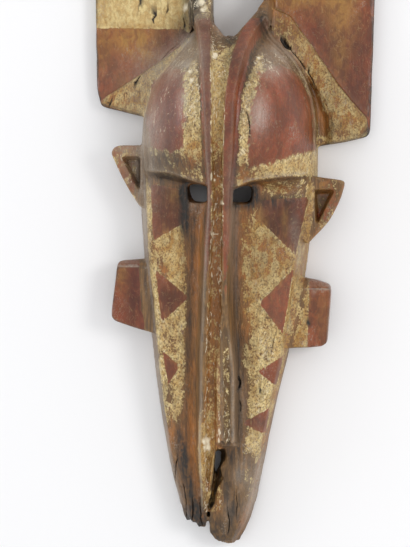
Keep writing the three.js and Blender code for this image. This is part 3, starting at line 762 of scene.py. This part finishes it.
class Places:
    """Every point's place, the face's lines beside it, and from 0 to 1 how far it lies in each part."""

    def __init__(self, mesh):
        self.points = points_of(mesh)
        self.flat = self.points[:, :2]
        x, y, z = self.points.T
        self.x = x
        self.y = y
        self.ways = normals_of(mesh)
        self.hidden = kept(mesh, "hidden")
        self.shown = np.maximum(1 - self.hidden, ease(0.3, 0.7, self.ways[:, 2]))
        self.edge = kept(mesh, "edge")
        self.recess = kept(mesh, "recess")
        self.crack = kept(mesh, "crack")

        # Where the face's lines run beside each point
        self.crest_left = along(CREST_LEFT, y)
        self.crest_right = along(CREST_RIGHT, y)
        self.left_outer = along(RIDGE_LEFT_OUTER, y)
        self.left_inner = along(RIDGE_LEFT_INNER, y)
        self.right_inner = along(RIDGE_RIGHT_INNER, y)
        self.right_outer = along(RIDGE_RIGHT_OUTER, y)
        self.foot_left = along(FOOT_LEFT, y)
        self.foot_right = along(FOOT_RIGHT, y)
        self.rim_left = along(RIM_LEFT, y)
        self.rim_right = along(RIM_RIGHT, y)
        self.below_brow = along(BROW, x) - y
        self.from_seam, _ = to_line(self.flat, DOME_EDGE)

        # The large parts
        outside = np.maximum(x - self.rim_right, self.rim_left - x)
        self.boards = ease(30, 18, z) * ease(2, 6, outside + 60 * ease(160, 170, y))
        self.ears = ease(2, 5, outside) * ease(14, 4, y) * ease(-116, -110, y)
        self.tabs = ease(2, 5, outside) * ease(-122, -126, y)
        self.face = ease(-30, -42, y)
        self.over_boards = ease(24, 30, z)

        # The narrow parts: crests, rib, keel, its groove, its blade and the channel at its end
        self.left_crest = stripe(x, self.crest_left - 3, self.crest_left + 4, 1.5)
        self.right_crest = stripe(x, self.crest_right - 2, self.crest_right + 1, 0.8)
        self.right_wall = stripe(x, self.crest_right + 1, self.rim_right, 2)
        self.rib = stripe(x, -54, -24, 1.5) * ease(140, 170, y)
        self.keel = stripe(x, self.foot_left, self.foot_right, 1) * ease(-440, -436, y) * ease(172, 160, y)
        self.across = stripe(x, -106, 100, 4) * ease(60, 66, z) * (1 - self.keel)
        self.groove = stripe(x, self.left_inner - 1.5, self.right_inner, 1) * self.keel
        self.mid_groove = self.groove * stripe(y, -205, -90, 20)
        self.blade = stripe(x, self.left_outer - 3, -20, 2) * ease(-296, -330, y) * self.keel
        low = ease(-205, -235, y)
        self.channel = stripe(x, -9, -1, 1.2) * low * ease(-356, -350, y)
        self.lips = stripe(x, -17, self.foot_right - 2, 1) * low * ease(-360, -354, y) * (1 - self.channel)


def red_paint(at):
    """Millimetres inside the nearest red outline, and less than 0 outside all of them."""
    layers = [within(at.flat, outline) for outline in (*LEFT_TRIANGLES, *RIGHT_TRIANGLES)]
    layers += [np.where(at.boards > 0.4, within(at.flat, outline), -FAR) for outline in BOARD_REDS]
    layers += [np.where(at.boards > 0.6, -FAR, 0.25 * within(at.flat, outline)) for outline in DOME_REDS]
    layers += [np.where(at.tabs > 0.5, within(at.flat, outline), -FAR) for outline in TAB_REDS]
    patchy = 0.9 * waves(at.points, *EAR_PATCHES) + 0.25 - 0.35 * ease(-20, 20, at.x)
    layers.append(np.where(at.ears > 0.5, patchy, -FAR))
    left_ridge = np.minimum(at.x - at.left_outer + 2.5, at.left_inner - at.x - 0.5)
    wider = 5 * ease(-60, -10, at.y)
    right_ridge = np.minimum(at.x - at.right_inner + 0.5, at.right_outer - at.x + 1 + wider)
    ridges = 0.4 * np.maximum(left_ridge, right_ridge) - 4 * ease(-90, -230, at.y)
    layers.append(np.where((at.y > -290) & (at.y < 158), ridges, -FAR))
    return np.clip(np.maximum.reduce(layers), -FAR, FAR)


def deep_paint(at):
    """How far the red is darkened."""
    deep = blobs(at.flat, DEEP_SPOTS)
    for outline, darker in DARK_TRIANGLES:
        deep += darker * within_soft(at.flat, outline)
    deep += 0.35 * at.tabs * ease(0, -40, at.x)
    by_the_brow = ease(60, 20, np.abs(at.y - 60))
    deep += 0.45 * at.keel * stripe(at.x, at.right_inner, at.right_outer, 1) * by_the_brow
    deep += 0.8 * at.keel * stripe(at.x, at.left_outer, at.left_inner, 1)
    deep += 0.3 * at.keel * ease(-120, -220, at.y)
    return np.clip(deep, 0, 1)


def cream_paint(at):
    """The share of the cream paint that is left."""
    x = at.x
    y = at.y
    face = at.face * (1 - at.tabs)
    left_lip = stripe(x, -60, -52, 2)
    right_lip = stripe(x, -36, -26, 2)
    ear_rim = ease(0.3, 0.9, at.ways[:, 2]) * ease(-2, -8, y)
    layers = [left * ease(-soft, soft, within(at.flat, outline)) for outline, left, soft in CREAMS]
    layers = [layer * (1 - at.keel) for layer in layers]
    layers += [
        face * (0.74 * at.left_crest * ease(-345, -312, y) + 0.86 * at.right_crest * ease(-430, -330, y)),
        0.68 * at.right_wall * ease(-400, -250, y) * face,
        (at.groove * (0.37 + 0.53 * ease(-10, 40, y)) - 0.09 * at.mid_groove) * ease(150, 90, y),
        0.34 * at.channel,
        at.blade * (0.46 + 0.34 * ease(-400, -380, y)),
        at.rib * (0.34 + 0.3 * left_lip + 0.12 * right_lip),
        at.ears * (0.14 + 0.26 * ease(0, -40, x) + 0.16 * ear_rim),
        0.76 * at.tabs * ease(0, 40, x) * ease(96, 90, x),
    ]
    return np.maximum(0, np.maximum.reduce(layers) - blobs(at.flat, CREAM_GAPS))


def ochre_paint(at, red):
    """A yellow-brown stain on all the paints and the wood."""
    x = at.x
    y = at.y
    ochre = 0.6 * stripe(x, at.foot_right + 4, 30, 8) * at.face * ease(-380, -340, y)
    ochre += 0.9 * stripe(x, at.foot_left - 6, at.foot_left + 4, 4) * at.face
    ochre += 0.5 * stripe(x, at.crest_left + 3, at.foot_left - 8, 3) * at.face
    ochre += 0.6 * stripe(x, at.crest_right + 1.5, at.crest_right + 4, 1) * at.face
    ochre += 0.15 * (at.left_crest + at.right_crest) * at.face
    ochre += 0.85 * at.right_wall * at.face * (1 - 0.7 * ease(-350, -390, y))
    ochre += at.groove * (0.95 - 0.6 * ease(20, 60, y)) + 0.8 * at.blade + 0.8 * at.ears
    ochre += at.tabs * ease(100, 90, x) * ease(0, 40, x)
    ochre += (0.45 - 0.2 * ease(-20, 10, x)) * ease(-330, -360, y) * waves(at.points, *MUZZLE_STAINS)
    for outline, stained in STAINED_CREAMS:
        ochre += stained * within_soft(at.flat, outline)
    ochre += blobs(at.flat, CREAM_STAINS)
    ochre = ochre * (1 - 0.92 * ease(-1.5, 0.5, red)) + blobs(at.flat, OCHRE_SPOTS)
    return np.clip(ochre, 0, 1)


def dust_and_sheen_paint(at):
    """Grey dust with painted sheen and highlights, mostly on what faces left and up."""
    x = at.x
    y = at.y
    # Painted sheen on the face's left side, where it faces left
    left_side = stripe(x, at.rim_left - 4, at.crest_left - 3, 2) * ease(0.1, -0.5, at.ways[:, 0])
    left_ridge = stripe(x, at.left_outer - 1.5, at.left_outer + 2.5, 1) * ease(-352, -340, y)
    # Painted highlights along the tabs' top bevels
    left_tab = 0.4 * ease(-137, -134, y) + 1.2 * stripe(y, -139.5, -137, 0.5)
    right_tab = 0.4 * ease(-164, -161, y) + 0.8 * stripe(y, -166, -164, 0.5)
    right_foot = stripe(x, at.right_outer, at.foot_right, 1) * ease(-40, -60, y) * ease(-200, -150, y)
    dust_and_sheen = blobs(at.flat, DUST_AND_SHEEN_SPOTS) + 0.7 * left_side * at.face
    # Painted sheen on the keel's left ridge, its left edge most, and on the blade's left edge
    dust_and_sheen += at.keel * left_ridge * (0.12 + 0.3 * ease(20, -30, y))
    dust_and_sheen += at.keel * 0.14 * stripe(x, at.left_outer - 1.5, at.left_inner, 1) * ease(-40, 0, y)
    dust_and_sheen += at.keel * 0.8 * stripe(x, at.left_outer - 2, at.left_outer + 1, 1) * ease(-300, -340, y)
    dust_and_sheen += at.keel * 0.2 * right_foot
    # A painted highlight along the brow's lower edge
    dust_and_sheen += 0.7 * stripe(at.below_brow, -3, -1, 0.8) * at.across * (1 - 0.4 * ease(10, 0, x))
    dust_and_sheen += at.tabs * (ease(0, -40, x) * left_tab + ease(0, 40, x) * right_tab)
    # A painted highlight along the outer edge of the right lip
    dust_and_sheen += at.lips * (0.15 + 0.4 * stripe(x, at.right_outer - 3, at.right_outer, 1))
    dust_and_sheen += (0.12 + 0.34 * ease(-350, -390, y)) * at.right_wall * at.face
    dust_and_sheen += 0.45 * stripe(at.from_seam, 1.5, 4, 1) * at.over_boards
    dust_and_sheen += at.rib * (0.25 + 0.35 * stripe(x, -44, -30, 3))
    return np.clip(dust_and_sheen, 0, 1)


def grime_and_shade_paint(at):
    """Grime and dark old wood, with painted shade in hollows, under the brow, in the split and cracks."""
    x = at.x
    y = at.y
    up = at.ways[:, 2]
    # Painted shade in what lies low, less in the ears, the groove and the channel
    grime_and_shade = 1.1 * ease(0.5, 3.5, at.recess) * (1 - at.ears) * (1 - 0.8 * at.groove) * (1 - 0.7 * at.channel)
    grime_and_shade += blobs(at.flat, GRIME_AND_SHADE_SPOTS) + 0.12 * at.mid_groove
    grime_and_shade += 0.6 * blob(at.flat, -44, 168, 8, 30) * at.rib
    # Painted shade on the walls of the muzzle's split
    grime_and_shade += ease(-2, 1, within(at.flat, BREAK)) * ease(0.6, 0.3, up)

    # Painted shadow under the brow, left and right, and darker lines round the dome's right border
    grime_and_shade += 0.5 * stripe(at.below_brow, 0.5, 7, 1.5) * at.across * ease(-20, -34, x)
    grime_and_shade += 0.55 * stripe(at.below_brow, 1, 3.5, 1) * at.across * ease(0, 10, x)
    grime_and_shade += 0.45 * stripe(at.below_brow, 22, 28, 3) * at.across * ease(30, 50, x)
    borders = stripe(at.from_seam, 4.5, 6.5, 1) + 0.8 * stripe(at.from_seam, 9, 10, 1)
    grime_and_shade += 0.55 * borders * at.over_boards * ease(-10, 10, y)
    grime_and_shade += 0.6 * stripe(at.from_seam, -1, 1, 0.8) * at.over_boards

    # Edges and sides of the boards and tabs
    grime_and_shade += at.boards * (0.9 * ease(0.06, 0.3, at.edge) + 0.7 * ease(0.6, 0.2, up))
    grime_and_shade += at.tabs * 0.6 * ease(0.1, 0.4, at.edge)
    grime_and_shade += 0.7 * stripe(x, -62, -44, 4) * ease(132, 160, y)

    # Along the keel's feet and its lips
    grime_and_shade += 0.6 * stripe(x, at.foot_left - 8, at.foot_left - 3, 2.5) * at.face * ease(-440, -300, y)
    # Painted shade on the keel's right flank, beside the face and beside the dome
    beside_face = ease(20, 0, y) * ease(-372, -340, y)
    grime_and_shade += 0.5 * stripe(x, at.right_outer + 2, at.foot_right + 1, 2) * beside_face
    beside_dome = ease(0, 20, y) * ease(150, 120, y)
    grime_and_shade += 0.55 * stripe(x, at.right_outer + 5, at.foot_right + 2, 1.5) * beside_dome
    inner_lips = at.lips * (1 - stripe(x, at.right_outer - 3, at.right_outer, 1))
    grime_and_shade += 0.14 * inner_lips * ease(-300, -340, y)

    # The muzzle's end darker towards its tip and left, painted shade on what faces down there and in the
    # cracks
    grime_and_shade += (0.12 + 0.33 * ease(0, -30, x)) * ease(-400, -470, y)
    grime_and_shade += 0.55 * ease(0.2, -0.3, up) * ease(-360, -400, y)
    grime_and_shade += 1.5 * ease(0.3, 1.5, at.crack)
    return np.clip(grime_and_shade, 0, 1.3)


def white_paint(at):
    """White ground that shows where the paint is knocked off."""
    ragged = 0.55 * waves(at.points, *CHIP_BORDERS)
    white = np.zeros(len(at.x))
    for x, y, radius in WHITE_CHIPS:
        away = np.hypot(at.x - x, at.y - y) / radius
        white = np.maximum(white, ease(1.2, 0.8, away + ragged))
    return white


def fleck_paint(at, cream):
    """How thick the small white flecks lie."""
    x = at.x
    y = at.y
    left_lip = stripe(x, at.left_inner - 1, at.left_inner + 2.5, 0.8)
    right_lip = stripe(x, at.right_inner - 2.5, at.right_inner + 0.5, 0.7)
    flecks = 0.26 * at.groove + 0.6 * at.rib + 0.5 * at.channel + 0.3 * at.ears * ease(-50, -110, x)
    right_lip *= 0.6 * ease(-50, -70, y) + 0.5 * stripe(y, -64, 60, 6)
    flecks += at.keel * (0.7 * left_lip + right_lip)
    flecks += blobs(at.flat, FLECK_SPOTS) + blobs(at.flat, DOME_FLECK_SPOTS) * (1 - at.keel)
    flecks += 0.12 * cream * ease(-60, 40, y) * (1 - at.boards)
    return np.clip(flecks, 0, 1)


def paint(mesh):
    at = Places(mesh)
    red = red_paint(at)
    cream = cream_paint(at)
    keep(mesh, "red", np.where(at.hidden > 0.5, -FAR, red))
    keep(mesh, "deep", deep_paint(at) * at.shown)
    keep(mesh, "cream", cream * at.shown)
    keep(mesh, "ochre", ochre_paint(at, red) * at.shown)
    keep(mesh, "dust_and_sheen", dust_and_sheen_paint(at) * at.shown)
    keep(mesh, "grime_and_shade", grime_and_shade_paint(at) * at.shown)
    keep(mesh, "white", white_paint(at) * at.shown)
    keep(mesh, "flecks", fleck_paint(at, cream) * at.shown)


# The material

def linear(colour):
    parts = [c / 255 for c in colour]
    return (*(c / 12.92 if c <= 0.04045 else ((c + 0.055) / 1.055) ** 2.4 for c in parts), 1)


class Nodes:
    """A short way to write a material's nodes."""

    def __init__(self, material):
        material.use_nodes = True
        self.tree = material.node_tree
        self.shader = self.tree.nodes["Principled BSDF"]
        self.place = self.add("TexCoord", {}).outputs["Object"]

    def add(self, kind, inputs, **settings):
        node = self.tree.nodes.new("ShaderNode" + kind)
        for name, value in settings.items():
            setattr(node, name, value)
        for name, value in inputs.items():
            if isinstance(value, bpy.types.NodeSocket):
                self.tree.links.new(value, node.inputs[name])
            else:
                node.inputs[name].default_value = value
        return node

    def sum(self, kind, a, b=0.0, clamp=False):
        return self.add("Math", {0: a, 1: b}, operation=kind, use_clamp=clamp).outputs[0]

    def plus(self, a, b):
        return self.sum("ADD", a, b)

    def minus(self, a, b):
        return self.sum("SUBTRACT", a, b)

    def times(self, a, b):
        return self.sum("MULTIPLY", a, b)

    def most(self, a, b):
        return self.sum("MAXIMUM", a, b)

    def rise(self, value, low, high, to_low=0.0, to_high=1.0):
        inputs = {"Value": value, "From Min": low, "From Max": high, "To Min": to_low, "To Max": to_high}
        return self.add("MapRange", inputs, interpolation_type="SMOOTHSTEP").outputs[0]

    def mottle(self, size, y_counts, detail, warp, shift):
        """Noise with spots of a size in millimetres, from 0 to 1."""
        moved = {"Vector": self.place, "Scale": (1, y_counts, 1), "Location": (shift, shift, shift)}
        place = self.add("Mapping", moved).outputs[0]
        inputs = {"Vector": place, "Scale": MM_PER_M / size, "Detail": detail, "Distortion": warp}
        return self.rise(self.add("TexNoise", inputs).outputs[0], 0.3, 0.7)

    def mix(self, factor, a, b):
        a, b = (linear(c) if isinstance(c, tuple) else c for c in (a, b))
        return self.add("Mix", {0: factor, 6: a, 7: b}, data_type="RGBA").outputs[2]

    def attribute(self, name):
        return self.add("Attribute", {}, attribute_name=name, attribute_type="GEOMETRY").outputs["Fac"]


def painted_wood():
    mat = bpy.data.materials.new("painted_wood")
    n = Nodes(mat)
    ochre = n.attribute("ochre")
    hidden = n.attribute("hidden")
    deep = n.attribute("deep")
    edge = n.attribute("edge")

    # Bare wood: fibres along the mask, lighter and darker
    fibres = n.mottle(*FIBRE_NOISE)
    fine_fibres = n.mottle(*FINE_FIBRE_NOISE)
    cloudy = n.mottle(*CLOUD_NOISE)
    wood = n.mix(fibres, WOOD_DARK, WOOD_LIGHT)
    wood = n.mix(n.times(ochre, n.rise(cloudy, 0.1, 0.8, 0.4, 1.0)), wood, ORANGE)
    wood = n.mix(n.rise(fine_fibres, 0.5, 1.0, 0.0, 0.45), wood, WOOD_DARK)
    raw = n.mix(fibres, RAW_WOOD, WOOD_LIGHT)
    raw = n.mix(n.rise(cloudy, 0.3, 1.0, 0.0, 0.6), raw, UNDER)
    wood = n.mix(n.rise(hidden, 0.3, 0.8), wood, raw)

    # Cream paint, flaked off in spots of three sizes
    large = n.mottle(*LARGE_NOISE)
    middle = n.mottle(*MIDDLE_NOISE)
    small = n.mottle(*SMALL_NOISE)
    spots = n.plus(n.times(large, 0.28), n.times(middle, 0.36))
    spots = n.plus(spots, n.times(small, 0.36))
    cream_left = n.attribute("cream")
    cream_cover = n.rise(n.minus(cream_left, spots), -0.12, 0.12)
    cream = n.mix(n.rise(middle, 0.2, 0.9, 0.0, 0.5), CREAM, OCHRE)
    cream = n.mix(n.times(ochre, n.rise(large, 0.2, 0.9, 0.35, 1.0)), cream, OCHRE)
    pale = n.mottle(*PALE_NOISE)
    whole = n.most(n.rise(ochre, 0.0, 0.8), n.rise(cream_left, 0.9, 1.1))
    pale = n.times(n.rise(pale, 0.5, 1.0, 0.0, 0.45), n.rise(whole, 0.0, 1.0, 1.0, 0.2))
    cream = n.mix(pale, cream, WHITE)
    speckled = n.times(n.rise(small, 0.35, 1.0), n.rise(cream_left, 0.8, 1.1, 0.7, 0.2))
    cream = n.mix(speckled, cream, DIRT)
    worn = n.times(n.rise(cream_left, 0.1, 0.3, 0.0, 0.6), n.rise(ochre, 0.3, 1.0, 1.0, 0.25))
    under = n.mix(worn, wood, UNDER)
    colour = n.mix(cream_cover, under, cream)

    # Red paint with crisp borders, rubbed through here and there
    border = n.times(n.minus(middle, 0.5), 1.2)
    red_cover = n.rise(n.plus(n.attribute("red"), border), -0.5, 0.5)
    rubbed = n.rise(n.plus(spots, n.times(edge, 0.3)), 0.74, 0.88, 0.985, 0.66)
    red_cover = n.times(red_cover, rubbed)
    red = n.mix(n.rise(n.plus(cloudy, n.times(middle, 0.7)), 0.2, 1.5, 0.12, 0.95), RED_DARK, RED)
    red = n.mix(n.rise(fine_fibres, 0.3, 1.0, 0.0, 0.22), red, RED_DARK)
    red = n.mix(n.times(deep, n.rise(large, 0.0, 1.0, 1.0, 0.6)), red, MAROON)
    stained = n.rise(n.plus(n.mottle(*STAIN_NOISE), middle), 0.3, 1.5, 0.35, 0.85)
    red = n.mix(n.times(ochre, stained), red, OCHRE)
    hairs = n.sum("ABSOLUTE", n.minus(n.mottle(*HAIR_NOISE), 0.5))
    red = n.mix(n.rise(hairs, 0.0, 0.03, 0.4, 0.0), red, RUBBED)
    colour = n.mix(red_cover, colour, red)

    # A thin uneven film of dirt, and rubbed edges
    film = n.plus(n.mottle(*FILM_NOISE), n.mottle(*FINE_FILM_NOISE))
    film = n.times(n.rise(film, 0.5, 1.8, 0.0, 0.6), n.rise(cream_left, 0.6, 1.0, 1.0, 0.35))
    film = n.times(film, n.rise(n.most(red_cover, n.times(ochre, 0.6)), 0.0, 1.0, 1.0, 0.3))
    colour = n.mix(film, colour, DIRT)
    bare = n.rise(n.plus(edge, n.times(middle, 0.1)), 0.12, 0.5, 0.0, 0.25)
    bare = n.times(bare, n.rise(red_cover, 0.0, 1.0, 1.0, 0.4))
    colour = n.mix(bare, colour, RUBBED)

    # Dust with painted sheen, grime with painted shade, grey specks and white flecks
    # Grey dust and painted sheen
    dust_and_sheen_mask = n.times(n.attribute("dust_and_sheen"), n.rise(n.plus(small, cloudy), 0.3, 1.7, 0.4, 0.9))
    colour = n.mix(dust_and_sheen_mask, colour, GREY_DUST_AND_SHEEN)
    # Dark grime and painted shade
    grime_and_shade_mask = n.attribute("grime_and_shade")
    grime_and_shade_mask = n.sum("MULTIPLY", grime_and_shade_mask, n.rise(n.plus(middle, fibres), 0.2, 1.8, 0.95, 0.55), clamp=True)
    colour = n.mix(grime_and_shade_mask, colour, GRIME_AND_SHADE_COLOUR)
    specks = n.rise(n.times(n.mottle(*SPECK_NOISE), cloudy), 0.55, 0.9, 0.0, 0.45)
    specks = n.times(specks, n.rise(deep, 0.1, 0.6, 1.0, 0.3))
    colour = n.mix(n.times(specks, n.rise(grime_and_shade_mask, 0.3, 0.9, 1.0, 0.2)), colour, GREY_DUST_AND_SHEEN)
    dashes = n.mottle(*DASH_NOISE)
    fleck = n.rise(n.minus(n.attribute("flecks"), n.rise(dashes, 0.4, 1.0, 1.2, 0.1)), 0.0, 0.25)
    fleck = n.times(fleck, n.rise(large, 0.4, 0.8))
    white = n.most(n.attribute("white"), n.times(fleck, 0.7))
    colour = n.mix(white, colour, WHITE)

    # How dull each part is: cream, the dust-and-sheen and grime-and-shade marks most, bare red least
    dull = n.plus(n.times(cream_cover, 0.16), n.times(red_cover, -0.12))
    dull = n.plus(dull, n.times(n.most(dust_and_sheen_mask, grime_and_shade_mask), 0.08))
    dull = n.plus(dull, n.times(deep, 0.24))
    dull = n.sum("ADD", dull, n.rise(fibres, 0.0, 1.0, 0.36, 0.44), clamp=True)

    # The thickness of the paint and the finest fibres
    relief = n.plus(n.times(cream_cover, 0.4), n.times(small, 0.3))
    relief = n.plus(relief, n.times(fine_fibres, 0.25))
    relief = n.plus(relief, n.times(middle, 0.4))
    relief = n.times(relief, n.rise(red_cover, 0.0, 1.0, 1.0, 0.35))
    bump = n.add("Bump", {"Height": relief, "Strength": 0.6, "Distance": 0.0012})

    for socket, value in (("Base Color", colour), ("Roughness", dull), ("Normal", bump.outputs[0])):
        n.tree.links.new(value, n.shader.inputs[socket])
    return mat


def carved_mask():
    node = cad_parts["mask"]
    piece = bpy.data.objects.new("carved_mask", node.data.copy())
    bpy.context.scene.collection.objects.link(piece)
    fine = piece.modifiers.new("fine", "REMESH")
    fine.mode = "VOXEL"
    fine.voxel_size = VOXEL * MM
    applied(piece)
    carve(piece.data, node)
    thinned(piece)
    refine(piece)
    crack(piece.data)
    paint(piece.data)
    piece.data.materials.clear()
    piece.data.materials.append(painted_wood())
    piece.data.shade_smooth()
    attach(piece, "root")
    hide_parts("mask")


bpy.context.scene.view_settings.view_transform = "Standard"
camera()
lights()
floor()
carved_mask()
